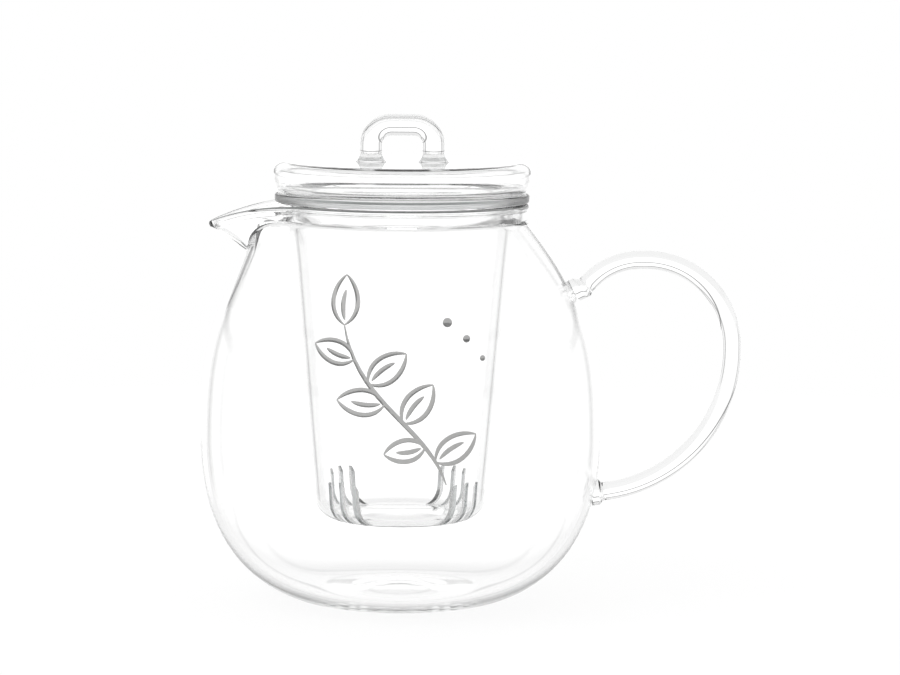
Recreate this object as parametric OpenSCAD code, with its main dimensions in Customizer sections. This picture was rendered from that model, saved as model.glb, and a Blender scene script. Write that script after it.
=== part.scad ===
// Blown-glass teapot with a lift-out glass infuser and a loop-handled lid.
// Millimetres, +Z up. The origin is the centre of the resting face, the
// spout points along -X and the handle along +X.

/* [Vessel] */
// Greatest outer diameter of the body
body_d = 130; // [120:0.5:145]
// Height of the widest point of the body
belly_z = 53.5; // [48:0.5:60]
// How far the wall keeps close to upright below the widest point
belly_drop = 44.7; // [36:0.1:46]
// How far the wall keeps close to upright above the widest point
belly_rise = 37.7; // [30:0.1:44]
// Outer diameter of the flat ring that the pot stands on
base_ring_d = 48; // [42:0.5:60]
// Inner diameter of that ring, where the kick-up begins
kick_d = 36; // [28:0.5:40]
// Height of the kick-up in the middle of the base
kick_h = 3; // [1.5:0.1:5]
// How far the base stays level before it turns up into the wall
base_level = 11; // [8:0.5:16]
// Thickness of the base
base_wall = 2.8; // [2:0.1:4]
// Thickness of the body's wall
body_wall = 2; // [1.4:0.1:2.6]

/* [Collar] */
// Height of the lip above the table
rim_z = 130.4; // [124:0.2:138]
// Height of the upright collar under the lip
collar_h = 5.8; // [4.5:0.1:8]
// Bore of the mouth
mouth_d = 76.8; // [72:0.2:80]
// Thickness of the collar
collar_wall = 2.3; // [1.8:0.1:2.8]
// How far the fire-polished lip stands proud of the collar
lip_bead = 0.5; // [0.2:0.1:0.8]
// Rounding of the lip
lip_r = 1.1; // [0.8:0.05:1.2]
// Slope of the shoulder where it meets the collar
shoulder_angle = 51; // [44:1:58]
// How far the shoulder runs straight from the collar
shoulder_run = 27; // [20:0.5:32]

/* [Spout] */
// How far the tip stands out from the lip
spout_reach = 21.5; // [17:0.5:26]
// Rounding of the tip, seen from above
spout_tip_r = 4.5; // [3.8:0.1:6]
// How far the tip hangs below the lip of the mouth
spout_droop = 6.2; // [4:0.1:8]
// Thickness of the beak's wall
spout_wall = 2; // [1.4:0.1:2.4]
// How far below the lip of the mouth the beak's keel leaves the shoulder
spout_depth = 17.4; // [14.5:0.1:20]
// How sharply the sides close into the keel: 1 is a plain V
spout_v = 1.6; // [1.3:0.1:2.2]

/* [Handle] */
// Diameter of the handle's rod
handle_rod_d = 6; // [5:0.1:7.5]
// How far the middle of the rod stands out from the body
handle_reach = 42.4; // [38:0.2:48]
// Height of the handle's outermost point
handle_out_z = 83.5; // [79:0.5:88]
// Bend radius of the rod at the handle's outer top corner
handle_corner_r = 28; // [24:0.5:31]
// Straight of the rod between two bends
handle_straight = 1.6; // [0.5:0.1:3]
// Height of the upper seal on the body
upper_seal_z = 102; // [98:0.5:105]
// Length of the upper seal
upper_seal_len = 4.6; // [3.6:0.1:5.6]
// Tilt of the upper seal above level
upper_seal_tilt = 26; // [18:1:34]
// Height of the lower seal on the body
lower_seal_z = 36; // [32:0.5:40]
// Length of the lower seal
lower_seal_len = 2.8; // [2.2:0.1:4]
// Tilt of the lower seal above level
lower_seal_tilt = 8; // [2:1:14]
// How far a seal swells round the rod
seal_swell = 1.1; // [0.6:0.1:1.6]

/* [Infuser] */
// Depth of the infuser below the lip
infuser_depth = 103.4; // [90:0.2:112]
// Diameter that the tapered wall would reach at the infuser's bottom
infuser_foot_d = 55; // [48:0.5:60]
// Thickness of the infuser's wall
infuser_wall = 1.8; // [1.3:0.1:2.2]
// Rounding between the infuser's wall and its bottom
infuser_corner_r = 8; // [6:0.1:10]
// Gap all round between the infuser and the bore of the mouth
infuser_gap = 2.1; // [1.6:0.1:3]
// Thickness of the flange that hangs the infuser on the lip
flange_t = 3.2; // [2.4:0.1:4]
// Rounding of the flange's outer edge
flange_edge_r = 1; // [0.5:0.05:1.15]
// Rounding of the flange's inner edge
flange_inner_r = 2.2; // [1.2:0.1:2.3]
// How far the infuser's bottom is pushed up in the middle
infuser_kick = 1; // [0.4:0.1:1.6]

/* [Straining cuts] */
// Number of groups of saw cuts
cut_groups = 4; // [2:1:4]
// Saw cuts in each group
cuts_per_group = 3; // [2:1:3]
// Spacing of the cuts in a group
cut_pitch = 5.2; // [4.2:0.1:6]
// Width of a cut
cut_w = 1.4; // [0.9:0.1:1.9]
// How high a cut runs up the wall
cut_rise = 14.5; // [12:0.5:17]
// How far a cut runs in over the bottom
cut_run = 8; // [6:0.5:10]
// Radius of the saw blade
blade_r = 25; // [20:1:40]
// Turn of the first group from the spout's direction
cut_turn = 49; // [40:1:60]

/* [Lid] */
// Height of the lid's body above the flange
lid_h = 9.8; // [8:0.1:12]
// How far the lid's rolled edge stands out past the flange
lid_overhang = 1.5; // [0.5:0.1:3]
// Thickness of the lid's glass
lid_wall = 2; // [1.5:0.1:2.5]
// How far the locating skirt hangs down inside the infuser
skirt_h = 9.2; // [6:0.1:12]
// Gap all round between the skirt and the infuser
skirt_gap = 0.8; // [0.5:0.1:1.5]

/* [Knob] */
// Diameter of the knob's rod
knob_rod_d = 7; // [6:0.1:8]
// Height of the knob above the lid
knob_h = 15.6; // [14:0.1:20]
// Distance between the middles of the knob's legs
knob_span = 21.6; // [19:0.2:26]
// Bend radius of the rod's middle line at the knob's corners
knob_bend_r = 8.2; // [6.5:0.1:9]
// Height of the seal round each leg
knob_seal_h = 3.8; // [2.5:0.1:5]
// How far the seal spreads past the rod at its foot
knob_seal_spread = 2; // [1:0.1:2.8]

/* [Hidden] */
$fn = 96;

clear_glass = [0.93, 0.96, 0.96, 0.45];
seal_glass = [0.80, 0.85, 0.86, 0.6];
cut = 1;              // how far a cutting shape runs past what it cuts
curve_steps = 20;     // straight steps in each long curve of the body
bend_steps = 8;       // straight steps in a small rounding

// ---- curves ----

function bezier(p, t) =
    pow(1 - t, 3) * p[0] + 3 * pow(1 - t, 2) * t * p[1]
    + 3 * (1 - t) * t * t * p[2] + pow(t, 3) * p[3];

function bezier_heading(p, t) =
    let (d = pow(1 - t, 2) * (p[1] - p[0]) + 2 * (1 - t) * t * (p[2] - p[1])
             + t * t * (p[3] - p[2]))
    d / norm(d);

// The point t along a curve, moved depth to its left
function beside(p, t, depth) =
    let (d = bezier_heading(p, t)) bezier(p, t) + depth * [-d[1], d[0]];

function steps(n) = [for (i = [0:n]) i / n];
function reversed(list) = [for (i = [len(list) - 1:-1:0]) list[i]];
function part_of(list, from, to) = [for (i = [from:to]) list[i]];
function polar(r, a) = r * [cos(a), sin(a)];

function arc(centre, r, from, to, n = bend_steps) =
    [for (s = steps(n)) centre + polar(r, from + s * (to - from))];

// ---- vessel, shoulder and collar ----

body_r = body_d / 2;
base_r = base_ring_d / 2;
mouth_r = mouth_d / 2;
collar_r = mouth_r + collar_wall;
lip_outer_r = collar_r + lip_bead;
neck_z = rim_z - collar_h;
neck_notch = 0.6;     // the shoulder meets the collar in a small notch
neck_r = collar_r - neck_notch;

lower_curve = [[base_r, 0], [base_r + base_level, 0],
               [body_r, belly_z - belly_drop], [body_r, belly_z]];
upper_curve = [[body_r, belly_z], [body_r, belly_z + belly_rise],
               [neck_r, neck_z] + polar(shoulder_run, -shoulder_angle), [neck_r, neck_z]];

// The kick-up swells smoothly from the resting ring to its middle
function kick(r) = r >= kick_d / 2 ? 0 : kick_h * (1 + cos(360 * r / kick_d)) / 2;
kick_radii = [for (s = steps(bend_steps)) s * kick_d / 2];

body_outside = concat(
    [for (s = steps(curve_steps)) bezier(lower_curve, s)],
    [for (s = steps(curve_steps)) if (s > 0) bezier(upper_curve, s)]);

body_inside = concat(
    [for (s = steps(curve_steps))
        beside(lower_curve, s, base_wall + s * (body_wall - base_wall))],
    [for (s = steps(curve_steps)) if (s > 0) beside(upper_curve, s, body_wall)]);

// The vessel ends and the shoulder starts half-way along the upper curve
shoulder_step = curve_steps * 3 / 2;
top_step = curve_steps * 2;

lip_outside = concat(
    [[collar_r, neck_z + neck_notch], [collar_r, rim_z - 2 * lip_r]],
    arc([lip_outer_r - lip_r, rim_z - lip_r], lip_r, 0, 90));

// Height to outer radius, for whatever is seated on the body
wall_radius = [for (p = body_outside) [p[1], p[0]]];

module vessel_outer() {
    rotate_extrude()
        polygon(concat(
            [for (r = kick_radii) [r, kick(r)]],
            body_outside, lip_outside, [[0, rim_z]]));
}

module vessel() {
    color(clear_glass)
        rotate_extrude()
            polygon(concat(
                [for (r = kick_radii) [r, kick(r)]],
                part_of(body_outside, 0, shoulder_step),
                reversed(part_of(body_inside, 0, shoulder_step)),
                [for (r = reversed(kick_radii)) [r, kick(r) + base_wall]]));
}

// The shoulder draws in from the vessel to the mouth and is cut away under the beak
module shoulder() {
    color(clear_glass)
        difference() {
            rotate_extrude()
                polygon(concat(
                    part_of(body_outside, shoulder_step, top_step),
                    [[mouth_r, neck_z]],
                    reversed(part_of(body_inside, shoulder_step, top_step))));
            spout_channel();
        }
}

// The upright collar is tooled on the vessel's neck and open towards the spout
module collar() {
    color(clear_glass)
        difference() {
            rotate_extrude()
                polygon(concat(
                    [[mouth_r, neck_z], [neck_r, neck_z]],
                    lip_outside,
                    arc([mouth_r + lip_r, rim_z - lip_r], lip_r, 90, 180)));
            spout_channel();
        }
}

// ---- spout: a lofted beak, keeled below and open above ----

spout_tip_x = lip_outer_r + spout_reach;
spout_turn_x = spout_tip_x - spout_tip_r;       // centre of the tip's rounding
spout_edge = 2;                                 // depth of the glass at the very tip
spout_stations = 10;
spout_side_points = 6;
tip_end = 0.97;       // share of the tip's rounding that the last station reaches
lip_edge = 0.4;       // upright edge along the beak's lips
least_channel = 0.2;  // least depth of the channel where it runs out at the tip
droop_power = 2.2;    // the lip stays level at first and droops towards the tip
station_power = 1.6;  // how closely the stations crowd at the tip
keel_tip_z = rim_z - spout_droop - spout_edge;
spout_root_z = rim_z - spout_depth;
keel_bend = (keel_tip_z - spout_root_z)
            / pow(spout_tip_x - lookup(spout_root_z, wall_radius), 2);

// In plan the beak is bounded by the lines that touch the mouth's circle and the tip's
function plan_sine(mouth, tip) = (mouth - tip) / spout_turn_x;
function plan_start(mouth, tip) = mouth * plan_sine(mouth, tip);
function half_width(x, mouth, tip) =
    let (s = plan_sine(mouth, tip))
    x < spout_turn_x + tip * s
        ? (mouth - x * s) / sqrt(1 - s * s)
        : sqrt(max(0, tip * tip - pow(x - spout_turn_x, 2)));

function spout_lip(x) =
    rim_z - spout_droop * pow(max(0, x - lip_outer_r) / spout_reach, droop_power);
function keel(x) = keel_tip_z - keel_bend * pow(spout_tip_x - x, 2);
function channel_keel(x) =
    keel(x) + spout_wall * sqrt(1 + pow(2 * keel_bend * (spout_tip_x - x), 2));

// One V section across the beak at x, from lip to lip, with its top closed at top_z
function v_section(x, half, low, high, top_z) = concat(
    [[-x, -half, top_z]],
    [for (i = [-spout_side_points:spout_side_points])
        let (u = i / spout_side_points)
        [-x, half * u, low + (high - low) * pow(abs(u), spout_v)]],
    [[-x, half, top_z]]);

module loft(sections) {
    n = len(sections[0]);
    last = len(sections) - 1;
    polyhedron(
        points = [for (s = sections) each s],
        faces = concat(
            [[for (i = [n - 1:-1:0]) i]],
            [[for (i = [0:n - 1]) last * n + i]],
            [for (k = [0:last - 1], i = [0:n - 1])
                [k * n + i, (k + 1) * n + (i + 1) % n, (k + 1) * n + i]],
            [for (k = [0:last - 1], i = [0:n - 1])
                [k * n + i, k * n + (i + 1) % n, (k + 1) * n + (i + 1) % n]]));
}

// Stations crowd towards the rounded tip
function station(s, from, to) = from + (to - from) * (1 - pow(1 - s, station_power));

module spout_channel() {
    tip = spout_tip_r - spout_wall;
    from = plan_start(mouth_r, tip);
    to = spout_turn_x + tip * tip_end;
    loft([for (s = steps(spout_stations))
        let (x = station(s, from, to))
        v_section(x, half_width(x, mouth_r, tip), channel_keel(x),
                  max(spout_lip(x), channel_keel(x) + least_channel), rim_z + cut)]);
}

module spout() {
    from = plan_start(lip_outer_r, spout_tip_r);
    to = spout_turn_x + spout_tip_r * tip_end;
    color(clear_glass)
        difference() {
            loft([for (s = steps(spout_stations))
                let (x = station(s, from, to))
                v_section(x, half_width(x, lip_outer_r, spout_tip_r), keel(x),
                          spout_lip(x) - lip_edge, spout_lip(x))]);
            spout_channel();
            vessel_outer();
        }
}

// ---- handle: one rod in three bends, with a short straight between two ----

rod_r = handle_rod_d / 2;
handle_out_x = body_r + handle_reach;

// Where a seal stands on the body's wall, and the point at its outer end
function on_wall(z) = [lookup(z, wall_radius), z];
upper_end = on_wall(upper_seal_z) + polar(upper_seal_len, upper_seal_tilt);
lower_end = on_wall(lower_seal_z) + polar(lower_seal_len, lower_seal_tilt);

// The corner bend turns the rod from upright to level. From there the crown bend
// carries it down to the upper seal.
corner_z = handle_out_z + handle_straight / 2;
crown = [handle_out_x - handle_corner_r - handle_straight, corner_z + handle_corner_r];
to_upper = upper_end - crown;
crown_r = (to_upper * to_upper) / (-2 * to_upper[1]);
crown_turn = atan2(upper_end[1] - crown[1] + crown_r, to_upper[0]) - 90;

// The low bend leaves the foot of the upright and ends at the lower seal
foot_z = handle_out_z - handle_straight / 2;
low_x = handle_out_x - lower_end[0];
low_z = foot_z - lower_end[1];
low_r = (low_x * low_x + low_z * low_z) / (2 * low_x);
low_turn = atan2(low_z, low_r - low_x);

// A rod that starts at the origin heading up, and turns through an angle towards -X
module bend(r, angle, radius) {
    translate([-r, 0, 0])
        rotate([90, 0, 0])
            rotate_extrude(angle = angle)
                translate([r, 0])
                    circle(radius);
}

// Puts its children at the end of such a bend, heading on
module after_bend(r, angle) {
    translate([-r, 0, 0])
        rotate([0, -angle, 0])
            translate([r, 0, 0])
                children();
}

// Each length of the rod starts in the frame that the one before it ends in
module handle() {
    color(clear_glass)
        translate([handle_out_x, 0, foot_z])
            union() {
                mirror([0, 0, 1])
                    bend(low_r, low_turn, rod_r);
                cylinder(h = handle_straight, r = rod_r);
                translate([0, 0, handle_straight]) {
                    bend(handle_corner_r, 90, rod_r);
                    after_bend(handle_corner_r, 90) {
                        cylinder(h = handle_straight, r = rod_r);
                        translate([0, 0, handle_straight])
                            bend(crown_r, crown_turn, rod_r);
                    }
                }
            }
}

seal_edge = 0.25;     // step between a seal's outer end and its rod
seal_full = 0.6;      // share of the length over which a seal keeps its full swell
seal_wrap = 1.2;      // how far along the rod a seal reaches, as a share of the length

// A seal is a gather of glass that wraps the rod's end and swells on to the wall
module seal(seat_z, length, tilt) {
    seat = on_wall(seat_z);
    swell_r = rod_r + seal_swell;
    color(seal_glass)
        difference() {
            translate([seat[0], 0, seat[1]])
                rotate([0, 90 - tilt, 0])
                    rotate_extrude()
                        polygon(concat(
                            [[0, -2 * cut], [swell_r, -2 * cut]],
                            [for (s = steps(bend_steps))
                                [rod_r + seal_edge
                                     + (seal_swell - seal_edge) * (1 + cos(180 * s)) / 2,
                                 (seal_full + (seal_wrap - seal_full) * s) * length]],
                            [[0, seal_wrap * length]]));
            handle();
            vessel_outer();
        }
}

module handle_upper_seal() {
    seal(upper_seal_z, upper_seal_len, upper_seal_tilt);
}

module handle_lower_seal() {
    seal(lower_seal_z, lower_seal_len, lower_seal_tilt);
}

// ---- infuser: a tapered cup hung by its flange ----

infuser_top_r = mouth_r - infuser_gap;
infuser_z = rim_z - infuser_depth;
taper = atan((infuser_top_r - infuser_foot_d / 2) / infuser_depth);
corner = [infuser_top_r - infuser_corner_r * cos(taper)
              - (infuser_depth - infuser_corner_r * (1 - sin(taper))) * tan(taper),
          infuser_z + infuser_corner_r];
flange_z = rim_z + flange_t;
flange_r = lip_outer_r;
lip_clearance = 0.1;  // the flange's rounding keeps this far from the lip
flare_r = infuser_gap - lip_clearance;
bottom_level = 4;     // width of the flat that the rounding runs out into
bottom_slope = 3;     // width of the step up to the pushed-up middle

// Radius of the infuser's outer wall at a height, or depth further in
function infuser_wall_r(z, depth = 0) =
    infuser_top_r - (rim_z - z) * tan(taper) - depth / cos(taper);

module infuser_cup() {
    inner_bottom = infuser_corner_r - infuser_wall;
    flat_r = corner[0] - bottom_level;
    flare_z = rim_z - flare_r;
    inner_lip_z = flange_z - flange_inner_r;
    rotate_extrude()
        polygon(concat(
            [[0, infuser_z + infuser_kick], [flat_r - bottom_slope, infuser_z + infuser_kick],
             [flat_r, infuser_z]],
            arc(corner, infuser_corner_r, -90, -taper),
            arc([infuser_wall_r(flare_z) + flare_r, flare_z], flare_r, 180, 90),
            arc([flange_r - flange_edge_r, rim_z + flange_edge_r], flange_edge_r, -90, 0),
            arc([flange_r - flange_edge_r, flange_z - flange_edge_r], flange_edge_r, 0, 90),
            arc([infuser_wall_r(inner_lip_z, infuser_wall) + flange_inner_r, inner_lip_z],
                flange_inner_r, 90, 180),
            reversed(arc(corner, inner_bottom, -90, -taper)),
            [[flat_r, infuser_z + infuser_wall],
             [flat_r - bottom_slope, infuser_z + infuser_kick + infuser_wall],
             [0, infuser_z + infuser_kick + infuser_wall]]));
}

// A round blade bites across the corner between the wall and the bottom
wall_end = [infuser_wall_r(infuser_z + cut_rise), infuser_z + cut_rise];
floor_end = [infuser_foot_d / 2 - cut_run, infuser_z];
bite = wall_end - floor_end;
blade_centre = (wall_end + floor_end) / 2
    + [bite[1], -bite[0]] / norm(bite) * sqrt(blade_r * blade_r - bite * bite / 4);

module saw_cuts() {
    for (g = [0:cut_groups - 1], i = [0:cuts_per_group - 1])
        rotate([0, 0, 180 + cut_turn + g * 360 / cut_groups])
            translate([blade_centre[0], (i - (cuts_per_group - 1) / 2) * cut_pitch,
                       blade_centre[1]])
                rotate([90, 0, 0])
                    cylinder(h = cut_w, r = blade_r, center = true);
}

module infuser() {
    color(clear_glass)
        difference() {
            infuser_cup();
            saw_cuts();
        }
}

// ---- lid: a hollow cap with a rolled edge and a locating skirt ----

lid_r = flange_r + lid_overhang;
lid_z = flange_z + lid_h;
skirt_z = flange_z - skirt_h;
skirt_r = infuser_wall_r(skirt_z, infuser_wall) - skirt_gap;
roll_r = lid_h / 2;
roll_centre = [lid_r - roll_r, flange_z + roll_r];

module lid() {
    skirt_inner = skirt_r - lid_wall;
    throat = 1.5;     // rounding inside, where the skirt opens into the rolled edge
    color(clear_glass)
        rotate_extrude()
            polygon(concat(
                [[0, lid_z]],
                arc(roll_centre, roll_r, 90, -90, 2 * bend_steps),
                [[skirt_r, flange_z]],
                arc([skirt_r - lid_wall / 2, skirt_z + lid_wall / 2], lid_wall / 2, 0, -180),
                arc([skirt_inner + throat, flange_z + lid_wall - throat], throat, 180, 90),
                arc(roll_centre, roll_r - lid_wall, -90, 90, 2 * bend_steps),
                [[0, lid_z - lid_wall]]));
}

// ---- knob: a rod bent to a loop and sealed to the lid by both feet ----

knob_r = knob_rod_d / 2;
knob_mid_z = lid_z + knob_h - knob_r;
knob_turn_z = knob_mid_z - knob_bend_r;
knob_turn_x = knob_span / 2 - knob_bend_r;

module knob() {
    color(clear_glass)
        union() {
            for (side = [0, 1])
                mirror([side, 0, 0]) {
                    translate([knob_span / 2, 0, lid_z])
                        cylinder(h = knob_turn_z - lid_z, r = knob_r);
                    translate([knob_span / 2, 0, knob_turn_z])
                        bend(knob_bend_r, 90, knob_r);
                }
            translate([-knob_turn_x, 0, knob_mid_z])
                rotate([0, 90, 0])
                    cylinder(h = 2 * knob_turn_x, r = knob_r);
        }
}

// A gather of glass round the foot of one leg
module knob_seal(x) {
    color(seal_glass)
        translate([x, 0, lid_z])
            rotate_extrude()
                polygon(concat(
                    [[knob_r, 0]],
                    [for (s = steps(bend_steps))
                        [knob_r + seal_edge + (knob_seal_spread - seal_edge) * pow(1 - s, 2),
                         knob_seal_h * s]],
                    [[knob_r, knob_seal_h]]));
}

module knob_left_seal() { knob_seal(-knob_span / 2); }
module knob_right_seal() { knob_seal(knob_span / 2); }

vessel();
shoulder();
collar();
spout();
handle();
handle_upper_seal();
handle_lower_seal();
infuser();
lid();
knob();
knob_left_seal();
knob_right_seal();
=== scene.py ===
# %% [markdown]
# # A blown-glass teapot
#
# The pot, its infuser and its lid are all clear borosilicate glass. Clear glass has no colour of its own:
# what shows is how it bends and mirrors the light around it. So each wall is modelled with both of its
# faces, at its real thickness, and the studio round the pot is built with as much care as the pot.
#
# The solids of the CAD model come in first. Their boxes give the main sizes, and the visual pieces replace
# them.

# %% The frame
import math

import bmesh
import bpy
from mathutils import Matrix, Vector


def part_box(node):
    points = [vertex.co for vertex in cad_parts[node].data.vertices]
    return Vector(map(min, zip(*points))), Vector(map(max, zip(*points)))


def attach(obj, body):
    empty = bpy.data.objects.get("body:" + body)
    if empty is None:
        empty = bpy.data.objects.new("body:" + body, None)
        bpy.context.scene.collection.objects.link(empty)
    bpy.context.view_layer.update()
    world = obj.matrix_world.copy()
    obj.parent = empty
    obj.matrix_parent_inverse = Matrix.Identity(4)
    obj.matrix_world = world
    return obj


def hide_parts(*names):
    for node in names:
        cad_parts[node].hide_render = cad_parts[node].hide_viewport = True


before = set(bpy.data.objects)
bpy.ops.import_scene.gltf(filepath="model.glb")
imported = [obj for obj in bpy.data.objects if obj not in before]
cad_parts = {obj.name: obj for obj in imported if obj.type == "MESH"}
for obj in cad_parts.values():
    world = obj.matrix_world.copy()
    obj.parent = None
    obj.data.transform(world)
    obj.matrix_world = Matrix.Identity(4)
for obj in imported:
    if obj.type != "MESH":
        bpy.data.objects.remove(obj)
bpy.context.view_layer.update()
MM = 0.001

# %% [markdown]
# ## The camera
#
# A long lens from 1.3 m away, a little above the pot and looking slightly down, so that the lid's top shows
# as a narrow ellipse. A short lens close by would do the same for the middle, but would spread the pot's
# sides.

# %% Camera
CAMERA_PLACE = Vector((15.84, -1311.1, 224.4)) * MM
CAMERA_PITCH = math.radians(6.007)
CAMERA_ROLL = math.radians(0.43)
FOCAL_LENGTH = 162.29
SENSOR_WIDTH = 36

camera = bpy.data.objects.new("camera", bpy.data.cameras.new("camera"))
bpy.context.collection.objects.link(camera)
camera.data.lens = FOCAL_LENGTH
camera.data.sensor_width = SENSOR_WIDTH
camera.location = CAMERA_PLACE
turn = Matrix.Rotation(math.pi / 2 - CAMERA_PITCH, 4, "X") @ Matrix.Rotation(CAMERA_ROLL, 4, "Z")
camera.rotation_euler = turn.to_euler()
bpy.context.scene.camera = camera
bpy.context.scene.view_settings.view_transform = "Standard"
print("camera", round(CAMERA_PLACE.length, 2), "m from the foot of the pot's axis")

# %% [markdown]
# ## Shader maths as Python expressions
#
# A value in a node tree is a socket. Wrapping a socket in a small class lets a mask be written as an
# ordinary expression, and the class adds the Math nodes. Every other node comes from one method, which
# takes the node's type, its settings and the values or links of its sockets.

# %% Sockets that can be added and multiplied
class Value:
    def __init__(self, nodes, socket):
        self.nodes = nodes
        self.socket = socket

    def math(self, operation, *others):
        return self.nodes.add("ShaderNodeMath", {"operation": operation}, self, *others)

    def __add__(self, other):
        return self.math("ADD", other)

    def __radd__(self, other):
        return self.math("ADD", other)

    def __sub__(self, other):
        return self.math("SUBTRACT", other)

    def __rsub__(self, other):
        return (self * -1) + other

    def __mul__(self, other):
        return self.math("MULTIPLY", other)

    def __rmul__(self, other):
        return self.math("MULTIPLY", other)

    def larger(self, other):
        return self.math("MAXIMUM", other)

    def ramp(self, low, high):
        """0 at low and 1 at high, with soft ends."""
        settings = {"interpolation_type": "SMOOTHSTEP", "clamp": True}
        return self.nodes.add("ShaderNodeMapRange", settings, self, low, high, 0.0, 1.0)

# %% A node tree that is built by calls
class Nodes:
    def __init__(self, tree):
        self.tree = tree
        tree.nodes.clear()

    def add(self, kind, settings=None, *values, out=0, **named):
        node = self.tree.nodes.new(kind)
        for name, setting in (settings or {}).items():
            setattr(node, name, setting)
        keys = {name.replace("_", " "): value for name, value in named.items()}
        for key, value in list(enumerate(values)) + list(keys.items()):
            if isinstance(value, Value):
                self.tree.links.new(value.socket, node.inputs[key])
            elif value is not None:
                node.inputs[key].default_value = value
        return Value(self, node.outputs[out]) if node.outputs else None

# %% [markdown]
# ## The studio
#
# Glass on white is lit from behind and from all sides. Four white sheets of paper stand round the pot, each
# with a lamp behind its middle and a darker frame: upright edges, a dark line low along its foot, and
# another along its top. Over them the room is white again, and the ceiling is a little darker.
#
# Straight through a thin wall the middle of a sheet is seen, so the wall stays white. Where glass bends the
# light past an edge of a sheet a grey line appears, and those lines draw the teapot. A picture of a studio
# could be wrapped round the world instead, but a few smooth steps in the angles are easier to tune.

# %% Tones and edges of the paper
TABLE_LIGHT = 0.93      # the table straight below
PAPER_LIGHT = 1.04      # the lit paper
LAMP_LIGHT = 1.27       # the middle of a sheet, where a lamp stands behind it
CORNER_LIGHT = 0.93     # between two sheets of paper
SHEET_EDGE_LIGHT = 0.5  # the dark upright edges of a sheet
EDGE_LIGHT = 0.3        # the dark lines along its foot and its top
ROOM_LIGHT = 0.86       # the white room above the paper
CEILING_LIGHT = 0.6

# Elevations in degrees, from the first tone of each step to the second
TABLE_TO_PAPER = (-16, -10.5)
HORIZON_DOWN = (4.4, 5.4)
HORIZON_UP = (7.6, 8.8)
TOP_EDGE_DOWN = (24, 26)
TOP_EDGE_UP = (28, 31)
ROOM_TO_CEILING = (50, 75)

# Degrees to either side of a sheet's middle
SHEET_EDGE_OUT = (40, 37)
SHEET_EDGE_IN = (33, 30)
LAMP_EDGE = (20, 3)
SHEETS = 4
print(SHEETS, "sheets, from", PAPER_LIGHT, "to", LAMP_LIGHT, "in their middles")

# %% How bright the room is in a direction
def between(value, degrees, function=math.sin):
    """0 at the first of two angles and 1 at the second."""
    return value.ramp(*(function(math.radians(d)) for d in degrees))


def sheet_cosine(radians):
    return math.cos(SHEETS * radians)


def studio(n, x, y, z):
    """The light from a direction of length 1."""
    turned = n.add("ShaderNodeMath", {"operation": "ARCTAN2"}, x, y)
    fold = n.add("ShaderNodeMath", {"operation": "COSINE"}, turned * SHEETS)
    outer = between(fold, SHEET_EDGE_OUT, sheet_cosine)
    inner = between(fold, SHEET_EDGE_IN, sheet_cosine)
    lamp = between(fold, LAMP_EDGE, sheet_cosine)
    sheet = CORNER_LIGHT + outer * (SHEET_EDGE_LIGHT - CORNER_LIGHT)
    sheet = sheet + inner * (PAPER_LIGHT - SHEET_EDGE_LIGHT)
    sheet = sheet + lamp * (LAMP_LIGHT - PAPER_LIGHT)
    horizon = between(z, HORIZON_DOWN) * (1 - between(z, HORIZON_UP))
    sheet = sheet * (1 - horizon * (1 - EDGE_LIGHT))
    light = TABLE_LIGHT + between(z, TABLE_TO_PAPER) * (sheet - TABLE_LIGHT)
    top = between(z, TOP_EDGE_DOWN)
    room = between(z, TOP_EDGE_UP)
    light = light * (1 - top) + top * EDGE_LIGHT
    light = light * (1 - room) + room * ROOM_LIGHT
    ceiling = between(z, ROOM_TO_CEILING)
    return light * (1 - ceiling) + ceiling * CEILING_LIGHT


def ray_kinds(n):
    """Two masks: the ray comes straight from the camera, and the ray comes from glass."""
    camera_ray = n.add("ShaderNodeLightPath", out="Is Camera Ray")
    glossy_ray = n.add("ShaderNodeLightPath", out="Is Glossy Ray")
    through_ray = n.add("ShaderNodeLightPath", out="Is Transmission Ray")
    return camera_ray, glossy_ray.larger(through_ray)

# %% [markdown]
# The world is plain white to the camera, the studio to every ray that glass bends or mirrors, and an even
# fill to rough surfaces, so that the enamel and the floor are lit without the paper's lines.

# %% World
FILL_LIGHT = 0.9

world = bpy.data.worlds.new("studio")
bpy.context.scene.world = world
world.use_nodes = True
n = Nodes(world.node_tree)
direction = n.add("ShaderNodeTexCoord", out="Generated")
x, y, z = (n.add("ShaderNodeSeparateXYZ", None, direction, out=axis) for axis in "XYZ")
camera_ray, in_glass = ray_kinds(n)
strength = camera_ray + (1 - camera_ray) * (in_glass * studio(n, x, y, z) + (1 - in_glass) * FILL_LIGHT)
background = n.add("ShaderNodeBackground", None, (1, 1, 1, 1), strength)
n.add("ShaderNodeOutputWorld", None, background)
print("the world has", len(n.tree.nodes), "nodes")

# %% [markdown]
# ## The floor
#
# The pot stands on white paper that fades into the white behind it. Most of what the camera sees of it is a
# glow, and a small share is a matt surface that catches the soft shadow. Rays from glass pass through it,
# because the studio already holds the table's tone, and a real floor would show its rim through the pot.

# %% Floor
FLOOR_R = 0.6
FLOOR_SIDES = 96

floor_bm = bmesh.new()
bmesh.ops.create_circle(floor_bm, cap_ends=True, segments=FLOOR_SIDES, radius=FLOOR_R)
floor_mesh = bpy.data.meshes.new("floor")
floor_bm.to_mesh(floor_mesh)
floor_bm.free()
floor = bpy.data.objects.new("floor", floor_mesh)
bpy.context.collection.objects.link(floor)
print("floor", 2 * FLOOR_R, "m across")

# %% White paper
PAPER_SHOWN = 0.93      # the share of glow in what the camera sees, the rest takes the shadow
PAPER_GLOW = 1.015
PAPER_WHITE = (0.92, 0.92, 0.92, 1)
FADE_FROM = 0.5         # where the shadow's share begins to fade, and where it is gone, in floor radii
FADE_TO = 0.95

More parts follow.
